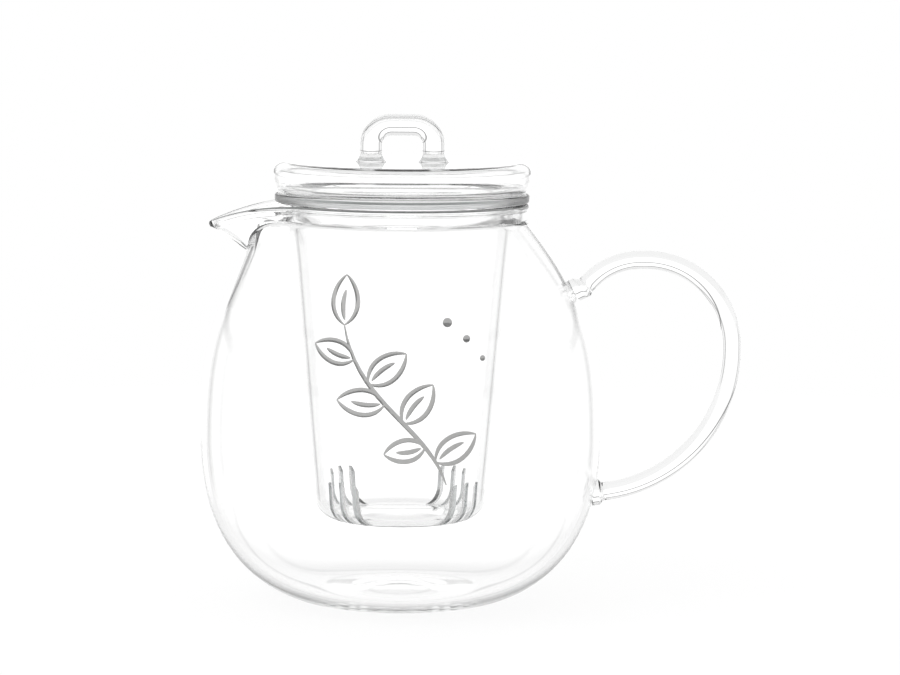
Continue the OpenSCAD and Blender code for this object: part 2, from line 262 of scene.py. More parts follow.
paper = bpy.data.materials.new("white_paper")
paper.use_nodes = True
n = Nodes(paper.node_tree)
place = n.add("ShaderNodeTexCoord", out="Object")
away = n.add("ShaderNodeVectorMath", {"operation": "LENGTH"}, place, out="Value")
camera_ray, in_glass = ray_kinds(n)
lit = n.add("ShaderNodeBsdfDiffuse", None, PAPER_WHITE)
glow = n.add("ShaderNodeEmission", None, (1, 1, 1, 1), PAPER_GLOW)
edge = away.ramp(FADE_FROM * FLOOR_R, FADE_TO * FLOOR_R)
seen = n.add("ShaderNodeMixShader", None, camera_ray * (PAPER_SHOWN + edge * (1 - PAPER_SHOWN)), lit, glow)
gone = n.add("ShaderNodeBsdfTransparent")
whole = n.add("ShaderNodeMixShader", None, in_glass * (1 - camera_ray), seen, gone)
n.add("ShaderNodeOutputMaterial", None, whole)
floor_mesh.materials.append(paper)
print(paper.name, "has", len(n.tree.nodes), "nodes")

# %% [markdown]
# ## The lamp
#
# One large soft lamp to the left gives the floor its shadow a direction. Glass doesn't mirror it, because a
# square of light on each wall would hide the lines that the paper draws.

# %% Window light
WINDOW_PLACE = (-1.2, -0.9, 1.6)
WINDOW_SIZE = 1.2
WINDOW_POWER = 14

lamp_data = bpy.data.lights.new("window_light", "AREA")
lamp_data.shape = "SQUARE"
lamp_data.size = WINDOW_SIZE
lamp_data.energy = WINDOW_POWER
window_light = bpy.data.objects.new("window_light", lamp_data)
window_light.location = WINDOW_PLACE
window_light.rotation_euler = (-Vector(WINDOW_PLACE)).to_track_quat("-Z", "Y").to_euler()
bpy.context.collection.objects.link(window_light)
window_light.visible_glossy = False
window_light.visible_transmission = False
print(window_light.name, WINDOW_POWER, "W")

# %% [markdown]
# ## Glass
#
# All the glass is one Principled shader with full transmission, and a volume that absorbs a little light on
# the way, which shows only where a ray runs along a wall. Three versions differ from the clear one: the
# outer edge of the spout and lip, which was melted round, is tinted dark grey as painted shade for its dark
# line, the infuser's saw cuts are ground and frosted, and the flange's rim is cut and half polished.

# %% Glass material
GLASS_IOR = 1.47
ABSORBED = (0.49, 0.51, 0.505, 1)
ABSORPTION = 6.0        # per metre: nothing in a wall, but a tone along it


def glass(name, roughness=0.0, colour=(1, 1, 1, 1)):
    material = bpy.data.materials.new(name)
    material.use_nodes = True
    n = Nodes(material.node_tree)
    shader = n.add("ShaderNodeBsdfPrincipled", None, Base_Color=colour, Roughness=roughness,
                   IOR=GLASS_IOR, Transmission_Weight=1.0)
    depth = n.add("ShaderNodeVolumeAbsorption", None, ABSORBED, ABSORPTION)
    n.add("ShaderNodeOutputMaterial", None, shader, depth)
    print("made", name)
    return material


clear_glass = glass("clear_glass")
# The lip's glass is tinted dark grey: painted shade for the dark line along the round bead.
lip_glass_painted_dark = glass("lip_with_painted_shade", 0.05, (0.3, 0.3, 0.3, 1))
ground_glass = glass("ground_glass", 0.4, (0.9, 0.92, 0.92, 1))
rim_glass = glass("cut_rim", 0.3)

# %% [markdown]
# ## Round glass
#
# Blown and pressed glass is round, so each wall starts as a closed outline of radius and height that is
# spun round the vertical axis. Straights, arcs and Bezier curves make the outline. The inner face of a wall
# is the outer curve moved to its left by the wall's thickness.

# %% Curves
def bezier(p, t):
    return (1 - t) ** 3 * p[0] + 3 * (1 - t) ** 2 * t * p[1] + 3 * (1 - t) * t * t * p[2] + t ** 3 * p[3]


def beside(p, t, depth):
    """The point t along a curve, moved depth to its left."""
    d = (1 - t) ** 2 * (p[1] - p[0]) + 2 * (1 - t) * t * (p[2] - p[1]) + t * t * (p[3] - p[2])
    d.normalize()
    return bezier(p, t) + depth * Vector((-d.y, d.x))


def polar(r, degrees):
    return Vector((r * math.cos(math.radians(degrees)), r * math.sin(math.radians(degrees))))


def arc(centre, r, start, end, steps):
    return [Vector(centre) + polar(r, start + (end - start) * i / steps) for i in range(steps + 1)]


def straight(a, b, steps):
    """Points between a and b, without either."""
    return [Vector(a).lerp(Vector(b), i / steps) for i in range(1, steps)]

# %% Spinning an outline
ON_AXIS = 0.01          # an outline that starts nearer the axis than this, in mm, closes there
WELD = 1e-6


def revolve(outline, around):
    """A closed outline, (radius, height) in mm, spun round the vertical axis."""
    bm = bmesh.new()
    verts = [bm.verts.new((p[0] * MM, 0, p[1] * MM)) for p in outline]
    edges = [bm.edges.new((a, b)) for a, b in zip(verts, verts[1:])]
    if min(outline[0][0], outline[-1][0]) > ON_AXIS:
        edges.append(bm.edges.new((verts[-1], verts[0])))
    bmesh.ops.spin(bm, geom=verts + edges, cent=(0, 0, 0), axis=(0, 0, 1), angle=2 * math.pi, steps=around,
                   use_merge=True)
    bmesh.ops.remove_doubles(bm, verts=bm.verts, dist=WELD)
    face_outwards(bm)
    return bm


def face_outwards(bm):
    bmesh.ops.recalc_face_normals(bm, faces=bm.faces)
    if bm.calc_volume(signed=True) < 0:
        bmesh.ops.reverse_faces(bm, faces=bm.faces)

# %% [markdown]
# ## From a mesh to a piece
#
# A piece is smooth except where its faces meet at a clear angle, such as at a saw cut. Parts that the
# glassblower seals together are fused with a Boolean: glass that only overlaps would show the faces inside
# it, because a ray bends at each of them.

# %% Objects and pieces
SHARP = math.radians(40)


def new_object(name, bm, materials):
    mesh = bpy.data.meshes.new(name)
    bm.to_mesh(mesh)
    bm.free()
    for material in materials:
        mesh.materials.append(material)
    mesh.shade_smooth()
    mesh.set_sharp_from_angle(angle=SHARP)
    made = bpy.data.objects.new(name, mesh)
    bpy.context.collection.objects.link(made)
    return made


def finish_piece(name, bm, body, materials, nodes):
    """A piece that rides on a body, takes the given materials and hides the CAD nodes that it stands for."""
    piece = new_object(name, bm, materials)
    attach(piece, body)
    if nodes:
        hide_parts(*nodes)
    print(name, "has", len(piece.data.polygons), "faces")
    return piece

# %% Fusing and cutting
def combine(piece, other, operation):
    """Fuses another object's mesh to a piece, or cuts it away, and deletes the other object."""
    modifier = piece.modifiers.new("combine", "BOOLEAN")
    modifier.object = other
    modifier.operation = operation
    modifier.solver = "MANIFOLD"
    modifier.material_mode = "TRANSFER"
    made = bpy.data.meshes.new_from_object(piece.evaluated_get(bpy.context.evaluated_depsgraph_get()))
    piece.modifiers.clear()
    made.name = piece.name
    made.set_sharp_from_angle(angle=SHARP)
    used = [piece.data, other.data]
    piece.data = made
    bpy.data.objects.remove(other)
    for mesh in used:
        bpy.data.meshes.remove(mesh)
    print(piece.name, "has", len(made.polygons), "faces now, materials", [m.name for m in made.materials])

# %% [markdown]
# ## Sizes
#
# The boxes of the CAD solids give the sizes that the whole pot hangs on, so that the visual pieces follow
# the solids when those change. The rest is written here, in mm, as in the source of the solids.

# %% Sizes read from the frame, in mm
def top_corner(node):
    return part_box(node)[1] / MM


def low_corner(node):
    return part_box(node)[0] / MM


belly_r = top_corner("vessel").y
rim_z = top_corner("collar").z
lip_outer_r = top_corner("infuser").y
lid_r = top_corner("lid").y
print("across the belly", round(2 * belly_r, 1), "mm, across the lid", round(2 * lid_r, 1), "mm")
print("rim at", round(rim_z, 1), "mm")

# %% [markdown]
# ## The pot's body
#
# The body was blown into a mould: a kicked-up base on a flat ring, a round belly, sloping shoulders, and an
# upright collar with a fire-polished bead as its lip. Its outline is two Bezier curves that meet at the
# belly. One surface with a Solidify modifier would have a wall of one thickness. Here the wall grows from 2
# mm to 2.8 mm towards the base, so the inner face has a line of its own.

# %% The curves of the body
base_r = 24
kick_r, kick_h = 18, 3
base_wall, wall = 2.8, 2
belly_z = 53.5
base_level, belly_drop, belly_rise = 11, 44.7, 37.7     # how strongly each curve leaves its ends
shoulder_pull, shoulder_slope = 27, -51                 # the same at the neck, and its slope in degrees
neck_round = 0.6
collar_h, collar_wall, lip_bead, lip_r = 5.8, 2.3, 0.5, 1.1
collar_r = lip_outer_r - lip_bead
mouth_r = collar_r - collar_wall
neck_z = rim_z - collar_h
neck_r = collar_r - neck_round

foot_end, belly, neck = Vector((base_r, 0)), Vector((belly_r, belly_z)), Vector((neck_r, neck_z))
lower = [foot_end, Vector((base_r + base_level, 0)), Vector((belly_r, belly_z - belly_drop)), belly]
upper = [belly, Vector((belly_r, belly_z + belly_rise)), neck + polar(shoulder_pull, shoulder_slope), neck]
print("mouth", round(2 * mouth_r, 1), "mm across, neck at", round(neck_z, 1), "mm")

# %% Where the outer face lies
LOOKUP_STEPS = 200
lower_points = [bezier(lower, t / LOOKUP_STEPS) for t in range(LOOKUP_STEPS + 1)]
outer_points = [bezier(upper, t / LOOKUP_STEPS) for t in range(LOOKUP_STEPS + 1)]


def outer_radius(z):
    """Radius of the body's outer face at a height between the belly and the neck."""
    for a, b in zip(outer_points, outer_points[1:]):
        if z <= b.y:
            return a.x + (b.x - a.x) * max(0, z - a.y) / (b.y - a.y)
    return neck_r


def on_wall(z):
    """The point of the outer face at any height, as radius and height."""
    points = outer_points if z > belly_z else lower_points
    for a, b in zip(points, points[1:]):
        if a.y <= z <= b.y:
            return Vector((a.x + (b.x - a.x) * (z - a.y) / (b.y - a.y), z))


print("the wall at 100 mm has a radius of", round(outer_radius(100), 1), "mm")

# %% The pot's outline
CURVE_STEPS = 60
KICK_STEPS = 20
COLLAR_STEPS = 12
BEAD_STEPS, LIP_STEPS = 10, 8
BEAD_START = -40        # degrees, where the bead leaves the collar
INNER_STEPS = 14


def kick(r):
    """Height of the kicked-up base at a radius."""
    return kick_h * (1 + math.cos(math.pi * min(1, r / kick_r))) / 2


def pot_outline():
    spread = [i / CURVE_STEPS for i in range(CURVE_STEPS + 1)]
    radii = [kick_r * i / KICK_STEPS for i in range(KICK_STEPS + 1)]
    outside = [bezier(lower, t) for t in spread] + [bezier(upper, t) for t in spread[1:]]
    inside = [beside(lower, t, base_wall + t * (wall - base_wall)) for t in spread]
    inside += [beside(upper, t, wall) for t in spread[1:]]
    foot = (collar_r, neck_z + neck_round)
    crown = (collar_r, rim_z - 2 * lip_r)
    inner_crown = (mouth_r, rim_z - lip_r)
    points = [(r, kick(r)) for r in radii]
    points += outside
    points += [foot, *straight(foot, crown, COLLAR_STEPS), crown]
    points += arc((lip_outer_r - lip_r, rim_z - lip_r), lip_r, BEAD_START, 90, BEAD_STEPS)
    points += arc((mouth_r + lip_r, rim_z - lip_r), lip_r, 90, 180, LIP_STEPS)
    points += straight(inner_crown, inside[-1], INNER_STEPS)
    points += reversed(inside)
    points += [(r, kick(r) + base_wall) for r in reversed(radii)]
    return [Vector(p) for p in points]


print("the pot's outline has", len(pot_outline()), "points")

# %% [markdown]
# ## Drawing out the beak
#
# On the real pot the spout is drawn out of the hot wall with a tool: the lip runs out to a point and
# droops, and the wall under it folds into a keel. A separate beak sealed on would show a seam all round. So
# here too the wall itself is moved: each point near the spout's middle line goes outwards to the beak's
# plan, and down or up by rules that fade out to either side.

# %% The beak in plan
BEAK_REACH = -low_corner("spout").x
TIP_R = 4.5
tip_turn = BEAK_REACH - TIP_R       # the middle of the tip's arc


def beak_plan(angle):
    """Radius of the lip in plan: a tip, a straight and the mouth. The angle from the middle is in radians."""
    s = (lip_outer_r - TIP_R) / tip_turn
    c = math.sqrt(1 - s * s)
    if angle >= math.acos(s):
        return lip_outer_r
    on_line = lip_outer_r / (math.sin(angle) * c + math.cos(angle) * s)
    if on_line * math.cos(angle) < tip_turn + TIP_R * s:
        return on_line
    b = tip_turn * math.cos(angle)
    return b + math.sqrt(max(0, b * b - tip_turn * tip_turn + TIP_R * TIP_R))


print("the beak reaches", round(BEAK_REACH, 1), "mm from the axis")

# %% Moving the wall
THROAT_Z = 97.0                         # nothing below this height moves
BEAK_SIDE = math.radians(60)            # nothing further round than this moves
INNER_LIMIT = 3                         # nor what lies this far inside the mouth's radius
CREASE_SOFT = 0.022                     # radians over which the keel's crease is rounded
LIP_DROOP, DROOP_FROM, DROOP_CURVE = 6.2, 30, 2.3
FOLD_LOW, FOLD_TURN, FOLD_FADE = 10.3, 21.0, 2.2        # the keel's depth, and how it fades to the sides
THROAT, THROAT_TURN, THROAT_BLEND = 10.0, 31.0, 2       # how far the wall under the lip bulges out
DRAWN_THIN, THIN_TURN = 0.5, 45         # how much thinner the drawn-out glass is, and over how many degrees
RISE_CURVE = 1.75


def fade(degrees, width):
    """1 on the middle line and 0 at width degrees to its side."""
    return math.cos(math.pi / 2 * min(1, degrees / width)) ** 2


def drawn(v):
    """How far outwards and upwards one point of the wall goes, and its angle from the middle line."""
    x, y, z = v / MM
    r = math.hypot(x, y)
    if z < THROAT_Z or r < mouth_r - INNER_LIMIT or x > 0:
        return None
    angle = math.atan2(abs(y), -x)
    if angle > BEAK_SIDE:
        return None
    a = math.degrees(math.hypot(angle, CREASE_SOFT) - CREASE_SOFT)
    fold_z = neck_z - FOLD_LOW * max(0, 1 - a / FOLD_TURN) ** FOLD_FADE
    fold_out = THROAT * fade(a, THROAT_TURN)
    inside = r < (outer_radius(z) - wall / 2 if z < neck_z else mouth_r + collar_wall / 2)
    thinner = DRAWN_THIN * fade(a, THIN_TURN) * inside
    if z < neck_z:
        up = ((z - THROAT_Z) / (neck_z - THROAT_Z)) ** THROAT_BLEND
        new_z = z + up * (fold_z - neck_z)
        kept_out = outer_radius(new_z) - outer_radius(z)
        return kept_out + (neck_r + fold_out - outer_radius(fold_z) + thinner) * up, new_z - z, angle
    lip = beak_plan(angle)
    along = lip * math.cos(angle)
    droop = LIP_DROOP * (max(0, along - DROOP_FROM) / (BEAK_REACH - DROOP_FROM)) ** DROOP_CURVE
    c = min(1, (z - neck_z) / (rim_z - 2 * lip_r - neck_z))
    rise = 1 - (1 - c) ** RISE_CURVE
    shift_r = fold_out * (1 - c) + (lip - lip_outer_r) * c + thinner
    return shift_r, (fold_z - neck_z) * (1 - rise) - droop * rise, angle


def draw_out(bm):
    moved = 0
    for v in bm.verts:
        shift = drawn(v.co)
        if shift:
            shift_r, shift_z, angle = shift
            shift_y = math.copysign(math.sin(angle), v.co.y) * shift_r
            v.co += Vector((-math.cos(angle) * shift_r, shift_y, shift_z)) * MM
            moved += 1
    print("drew out", moved, "points")

# %% [markdown]
# The outer edge of the lip takes the dark-tinted glass, a painted shade, before the beak is drawn, because
# its faces are easy to find while they are still in a circle.

# %% Making the pot
POT_AROUND = 288
LIP_LINE = 0.75         # how far the lip's painted dark shade reaches down the outside

pot_bm = revolve(pot_outline(), POT_AROUND)
# The faces at the outer edge of the lip take the dark-tinted glass, which is painted shade.
for face in pot_bm.faces:
    middle = face.calc_center_median() / MM
    if middle.z > rim_z - LIP_LINE and math.hypot(middle.x, middle.y) > mouth_r + collar_wall / 2:
        face.material_index = 1
draw_out(pot_bm)
pot_nodes = ["vessel", "shoulder", "collar", "spout", "handle", "handle_upper_seal", "handle_lower_seal"]
pot = finish_piece("pot", pot_bm, "pot", [clear_glass, lip_glass_painted_dark], pot_nodes)

# %% [markdown]
# ## Bent rods
#
# The handle and the knob are solid glass rod, bent in a flame. A curve with a bevel would give a rod of one
# radius. A ring that is extruded from station to station also swells and narrows, and it makes the brush
# strokes of the print as well, where each ring is flat.

# %% Sweeping a ring
def sweep(stations, sides=40):
    """A ring drawn along stations of (frame, radius or two radii). Each frame's Z axis lies along the rod."""
    def scaled(place, radius):
        wide, thick = radius if isinstance(radius, tuple) else (radius, radius)
        return place @ Matrix.Diagonal((wide, thick, 1, 1))

    bm = bmesh.new()
    bmesh.ops.create_circle(bm, segments=sides, radius=1, cap_ends=True)
    ring = list(bm.edges)
    last = scaled(*stations[0])
    bmesh.ops.transform(bm, matrix=last, verts=bm.verts)
    for station in stations[1:]:
        made = bmesh.ops.extrude_edge_only(bm, edges=ring)["geom"]
        verts = [g for g in made if isinstance(g, bmesh.types.BMVert)]
        ring = [g for g in made if isinstance(g, bmesh.types.BMEdge)]
        ring = [e for e in ring if all(v in verts for v in e.verts)]
        here = scaled(*station)
        bmesh.ops.transform(bm, matrix=here @ last.inverted(), verts=verts)
        last = here
    bmesh.ops.contextual_create(bm, geom=ring)
    face_outwards(bm)
    return bm

# %% Walking along a bent rod
BEND_STEP = 3           # degrees


def upright_frame(x, z, heading):
    """A frame in the plane y = 0 whose Z axis heads that many degrees up from +X."""
    return Matrix.Translation(Vector((x, 0, z)) * MM) @ Matrix.Rotation(math.radians(90 - heading), 4, "Y")


def walk(x, z, heading, moves):
    """Points (run, x, z, heading) along straights (length, 0) and bends (radius, degrees to the left)."""
    made = [(0, x, z, heading)]
    run = 0
    for size, turn_by in moves:
        if turn_by:
            steps = max(2, round(abs(turn_by) / BEND_STEP))
            side = 90 if turn_by > 0 else -90
            centre = Vector((x, z)) + polar(size, heading + side)
            for i in range(1, steps + 1):
                p = centre + polar(size, heading - side + turn_by * i / steps)
                made.append((run + size * math.radians(abs(turn_by)) * i / steps, p.x, p.y,
                             heading + turn_by * i / steps))
            run += size * math.radians(abs(turn_by))
            heading += turn_by
        else:
            p = Vector((x, z)) + polar(size, heading)
            run += size
            made.append((run, p.x, p.y, heading))
        x, z = made[-1][1], made[-1][2]
    return made

# %% [markdown]
# ## The handle
#
# One 6 mm rod, bent to a loop: a wide bow from the lower seal, a tight corner at the top and a flatter bow
# back to the shoulder. At each end the glassblower gathers a little glass before pressing it on, so the rod
# is thicker there and steps down to its own size.

# %% The handle's line
ROD_R = top_corner("handle").y
HANDLE_OUT = 42.4                       # from the belly to the rod's outermost middle
handle_x, handle_z, handle_corner, handle_flat = belly_r + HANDLE_OUT, 83.5, 28, 1.6
UPPER_Z, UPPER_LENGTH, UPPER_TILT = 102, 4.6, 26
LOWER_Z, LOWER_LENGTH, LOWER_TILT = 36, 2.8, 8


def handle_line():
    """The rod's start, first heading and moves, from the lower gather to the upper one."""
    upper_end = on_wall(UPPER_Z) + polar(UPPER_LENGTH, UPPER_TILT)
    lower_end = on_wall(LOWER_Z) + polar(LOWER_LENGTH, LOWER_TILT)
    crown = Vector((handle_x - handle_corner - handle_flat, handle_z + handle_flat / 2 + handle_corner))
    to_upper = upper_end - crown
    crown_r = to_upper.dot(to_upper) / (-2 * to_upper.y)
    crown_turn = math.degrees(math.atan2(upper_end.y - crown.y + crown_r, to_upper.x)) - 90
    span = Vector((handle_x, handle_z - handle_flat / 2)) - lower_end
    low_r = span.dot(span) / (2 * span.x)
    low_turn = math.degrees(math.atan2(span.y, low_r - span.x))
    flat = (handle_flat, 0)
    moves = [(low_r, low_turn), flat, (handle_corner, 90), flat, (crown_r, crown_turn)]
    return lower_end, 90 - low_turn, moves


lower_end, first_heading, moves = handle_line()
path = walk(lower_end.x, lower_end.y, first_heading, moves)
print("the handle's rod is", round(path[-1][0]), "mm long")

# %% The gathers, and the rod sealed on
SEAL_SWELL = 1.2
SEAL_FLAT = 0.5         # the part of a gather that keeps its full width
SEAL_STEPS = 11
SINK = 1.0              # how far the rod's ends run into the wall


def seal_radius(part):
    """The radius of the gather, where part is 0 at the wall and 1 where the bare rod begins."""
    fall = max(0, min(1, (part - SEAL_FLAT) / (1 - SEAL_FLAT)))
    return ROD_R + SEAL_SWELL * (1 - fall * fall * (3 - 2 * fall))


def gather(z, length, tilt, heading):
    """Stations from inside the wall out to where the bare rod begins."""
    made = []
    for i in range(SEAL_STEPS):
        away = (length + SINK) * i / SEAL_STEPS - SINK
        p = on_wall(z) + polar(away, tilt)
        made.append((upright_frame(p.x, p.y, heading), seal_radius(away / length) * MM))
    return made


stations = gather(LOWER_Z, LOWER_LENGTH, LOWER_TILT, first_heading)
stations += [(upright_frame(x, z, heading), ROD_R * MM) for run, x, z, heading in path]
stations += reversed(gather(UPPER_Z, UPPER_LENGTH, UPPER_TILT, path[-1][3]))
combine(pot, new_object("handle_rod", sweep(stations), [clear_glass]), "UNION")

# %% [markdown]
# ## The infuser
#
# A thick, slightly tapered cup that hangs by its flange on the pot's lip. It was pressed in a mould, so its
# faces are even. The flange's rim was cut and ground, which shows as a dark band round the mouth of the
# pot.

# %% Sizes of the infuser
infuser_gap, infuser_wall = 2.1, 1.8
infuser_corner_r, foot_r = 8, 27.5
flat_in, bottom_slope, infuser_kick = 4, 3, 1
flange_t, flange_edge_r, flange_inner_r = 3.2, 1, 2.2
flare_clear = 0.1
infuser_z = low_corner("infuser").z
infuser_top_r = mouth_r - infuser_gap
infuser_depth = rim_z - infuser_z
taper = math.atan((infuser_top_r - foot_r) / infuser_depth)
corner = Vector((infuser_top_r - infuser_corner_r * math.cos(taper)
                 - (infuser_depth - infuser_corner_r * (1 - math.sin(taper))) * math.tan(taper),
                 infuser_z + infuser_corner_r))
flange_z = rim_z + flange_t
flange_r = lip_outer_r
flare_r = infuser_gap - flare_clear
print("the infuser is", round(infuser_depth, 1), "mm deep")

# %% The infuser's outline
CORNER_STEPS = 24
WALL_STEPS = 40
FLANGE_STEPS = 8
INNER_LIP_STEPS = 10


def infuser_wall_r(z, inward=0):
    return infuser_top_r - (rim_z - z) * math.tan(taper) - inward / math.cos(taper)


def infuser_outline():
    taper_deg = math.degrees(taper)
    flat_r = corner.x - flat_in
    top_in = flange_z - flange_inner_r
    edge_r = flange_r - flange_edge_r
    kick_z = infuser_z + infuser_kick
    points = [(0, kick_z), (flat_r - bottom_slope, kick_z), (flat_r, infuser_z)]
    points += arc(corner, infuser_corner_r, -90, -taper_deg, CORNER_STEPS)
    flare = arc((infuser_wall_r(rim_z - flare_r) + flare_r, rim_z - flare_r), flare_r, 180, 90, FLANGE_STEPS)
    points += straight(points[-1], flare[0], WALL_STEPS) + flare
    points += arc((edge_r, rim_z + flange_edge_r), flange_edge_r, -90, 0, FLANGE_STEPS)
    points += arc((edge_r, flange_z - flange_edge_r), flange_edge_r, 0, 90, FLANGE_STEPS)
    inner_lip = (infuser_wall_r(top_in, infuser_wall) + flange_inner_r, top_in)
    inner = arc(inner_lip, flange_inner_r, 90, 180, INNER_LIP_STEPS)
    points += inner
    low = list(reversed(arc(corner, infuser_corner_r - infuser_wall, -90, -taper_deg, CORNER_STEPS)))
    points += straight(inner[-1], low[0], WALL_STEPS) + low
    points += [(flat_r, infuser_z + infuser_wall), (flat_r - bottom_slope, kick_z + infuser_wall),
               (0, kick_z + infuser_wall)]
    return [Vector(p) for p in points]

# %% Making the infuser
RIM_STEEP = 0.6         # faces of the rim that are flatter than this stay clear
AROUND = 240


def grind_flange(bm):
    """The steep faces round the rim of the flange take the cut finish."""
    for face in bm.faces:
        middle = face.calc_center_median() / MM
        r = math.hypot(middle.x, middle.y)
        if abs(face.normal.z) < RIM_STEEP and r > flange_r - flange_edge_r and middle.z > rim_z:
            face.material_index = 2


infuser_bm = revolve(infuser_outline(), AROUND)
grind_flange(infuser_bm)
infuser = finish_piece("infuser_cup", infuser_bm, "infuser",
                       [clear_glass, ground_glass, rim_glass], ["infuser"])

# %% [markdown]
# ## The saw cuts
#
# A round blade is pressed across the infuser's bottom corner twelve times, in four groups of three. The
# cuts of a group are parallel, so the outer two bite the round wall at a slant. The blades are modelled as
# thin discs and taken away, and the faces they leave keep the blades' material, which is the frosted one.

# %% Saw cuts
CUT_GROUPS = 4
cut_rise, cut_run = 14.5, 8             # how far up the wall and in along the bottom a cut reaches
blade_r, cut_pitch, cut_w, cut_turn = 25, 5.2, 1.4, 49
BLADE_SIDES = 160

wall_end = Vector((infuser_wall_r(infuser_z + cut_rise), infuser_z + cut_rise))
floor_end = Vector((foot_r - cut_run, infuser_z))
bite = wall_end - floor_end
blade_centre = (wall_end + floor_end) / 2 + Vector((bite.y, -bite.x)).normalized() * math.sqrt(
    blade_r ** 2 - bite.dot(bite) / 4)
cut_bm = bmesh.new()
for group in range(CUT_GROUPS):
    group_turn = Matrix.Rotation(math.radians(180 + cut_turn + group * 360 / CUT_GROUPS), 4, "Z")
    for i in (-1, 0, 1):
        blade = Matrix.Translation(Vector((blade_centre.x, i * cut_pitch, blade_centre.y)) * MM)
        place = group_turn @ blade @ Matrix.Rotation(math.pi / 2, 4, "X")
        bmesh.ops.create_cone(cut_bm, cap_ends=True, segments=BLADE_SIDES, radius1=blade_r * MM,
                              radius2=blade_r * MM, depth=cut_w * MM, matrix=place)
combine(infuser, new_object("saw_blades", cut_bm, [ground_glass]), "DIFFERENCE")

# %% [markdown]
# ## The lid
#
# The lid was blown as a flat bubble and opened below: its rolled edge is a half circle, hollow inside, and
# a skirt drops into the infuser to keep it in place. The wall is thin, so two lines lie close together
# along every edge.

# %% The lid's outline
lid_z, lid_wall = top_corner("lid").z, 1.3
skirt_gap, throat_r = 0.8, 1.5
skirt_z = low_corner("lid").z
skirt_r = infuser_wall_r(skirt_z, infuser_wall) - skirt_gap
roll_r = (lid_z - flange_z) / 2
roll = (lid_r - roll_r, flange_z + roll_r)
TOP_STEPS = 20
ROLL_STEPS = 40
SEAT_STEPS, SKIRT_STEPS, THROAT_STEPS = 4, 12, 10


def lid_outline():
    skirt_in = skirt_r - lid_wall
    points = [(0, lid_z)] + straight((0, lid_z), (roll[0], lid_z), TOP_STEPS)
    points += arc(roll, roll_r, 90, -90, ROLL_STEPS)
    points += straight((roll[0], flange_z), (skirt_r, flange_z), SEAT_STEPS) + [(skirt_r, flange_z)]
    points += arc((skirt_r - lid_wall / 2, skirt_z + lid_wall / 2), lid_wall / 2, 0, -180, SKIRT_STEPS)
    points += arc((skirt_in + throat_r, flange_z + lid_wall - throat_r), throat_r, 180, 90, THROAT_STEPS)
    points += arc(roll, roll_r - lid_wall, -90, 90, ROLL_STEPS)
    inner_top = (0, lid_z - lid_wall)
    points += straight((roll[0], lid_z - lid_wall), inner_top, TOP_STEPS) + [inner_top]
    return [Vector(p) for p in points]


lid = finish_piece("lid_cap", revolve(lid_outline(), AROUND), "lid", [clear_glass],
                   ["lid", "knob", "knob_left_seal", "knob_right_seal"])

# %% [markdown]
# ## The knob
#
# A short loop of rod, a little thicker in its legs than on top. Each foot spreads where it was pressed on
# the lid, and just above that the rod narrows to a shallow groove. Spread and groove need many stations on
# the straights, where the line itself would do with two.

# %% The knob's line
LEG_R, TOP_R = 3.7, 3.4
leg_x, knob_bend = 10.1, 6.4
KNOB_SINK = 0.4         # how far the feet run into the lid's glass
LEG_PARTS = 24

knob_mid = top_corner("knob").z - (LEG_R + TOP_R) / 2
leg = knob_mid - knob_bend - lid_z + KNOB_SINK
moves = [(leg, 0), (knob_bend, 90), (2 * (leg_x - knob_bend), 0), (knob_bend, 90), (leg, 0)]
knob_path = walk(leg_x, lid_z - KNOB_SINK, 90, moves)
knob_total = knob_path[-1][0]
knob_line = []
for a, b in zip(knob_path, knob_path[1:]):
    is_leg = a[3] == b[3] and abs(a[1] - b[1]) < ON_AXIS
    parts = LEG_PARTS if is_leg else 1
    knob_line += [tuple(p + (q - p) * (i / parts) for p, q in zip(a, b)) for i in range(parts)]
knob_line.append(knob_path[-1])
print("the knob's line has", len(knob_line), "stations on", round(knob_total, 1), "mm")

# %% Feet, groove and loop
FOOT_H, FOOT_SPREAD = 3.0, 1.9
GROOVE_H, GROOVE_W, GROOVE = 3.3, 0.6, 0.25


def knob_radius(from_foot):
    spread = FOOT_SPREAD * max(0, 1 - from_foot / FOOT_H) ** 2
    rod = LEG_R + (TOP_R - LEG_R) * from_foot / (knob_total / 2)
    spread -= GROOVE * math.exp(-((from_foot - GROOVE_H) / GROOVE_W) ** 2)
    return rod + spread


knob_stations = [(upright_frame(x, z, heading), knob_radius(min(run, knob_total - run)) * MM)
                 for run, x, z, heading in knob_line]
combine(lid, new_object("knob_loop", sweep(knob_stations), [clear_glass]), "UNION")

# %% [markdown]
# ## The enamel print
#
# A spray of tea leaves is fired on to the front of the pot in grey enamel. Each stroke is a brush line that
# lies on the wall, swells in its middle and thins out at its ends, so it is a flat ring swept along a
# curve. A mask in the glass material would look the same from the front, but the print is a layer of its
# own, and a mesh keeps its edge crisp from close by.

# %% Enamel material
ENAMEL_GREY = (0.4, 0.4, 0.395, 1)
ENAMEL_ROUGHNESS = 0.5
GRAIN_SCALE, GRAIN_DETAIL = 900.0, 3.0
GRAIN_LOW, GRAIN_RANGE = 0.92, 0.16     # fired enamel is never quite even
GRAIN_BUMP, GRAIN_HEIGHT = 0.15, 0.0001

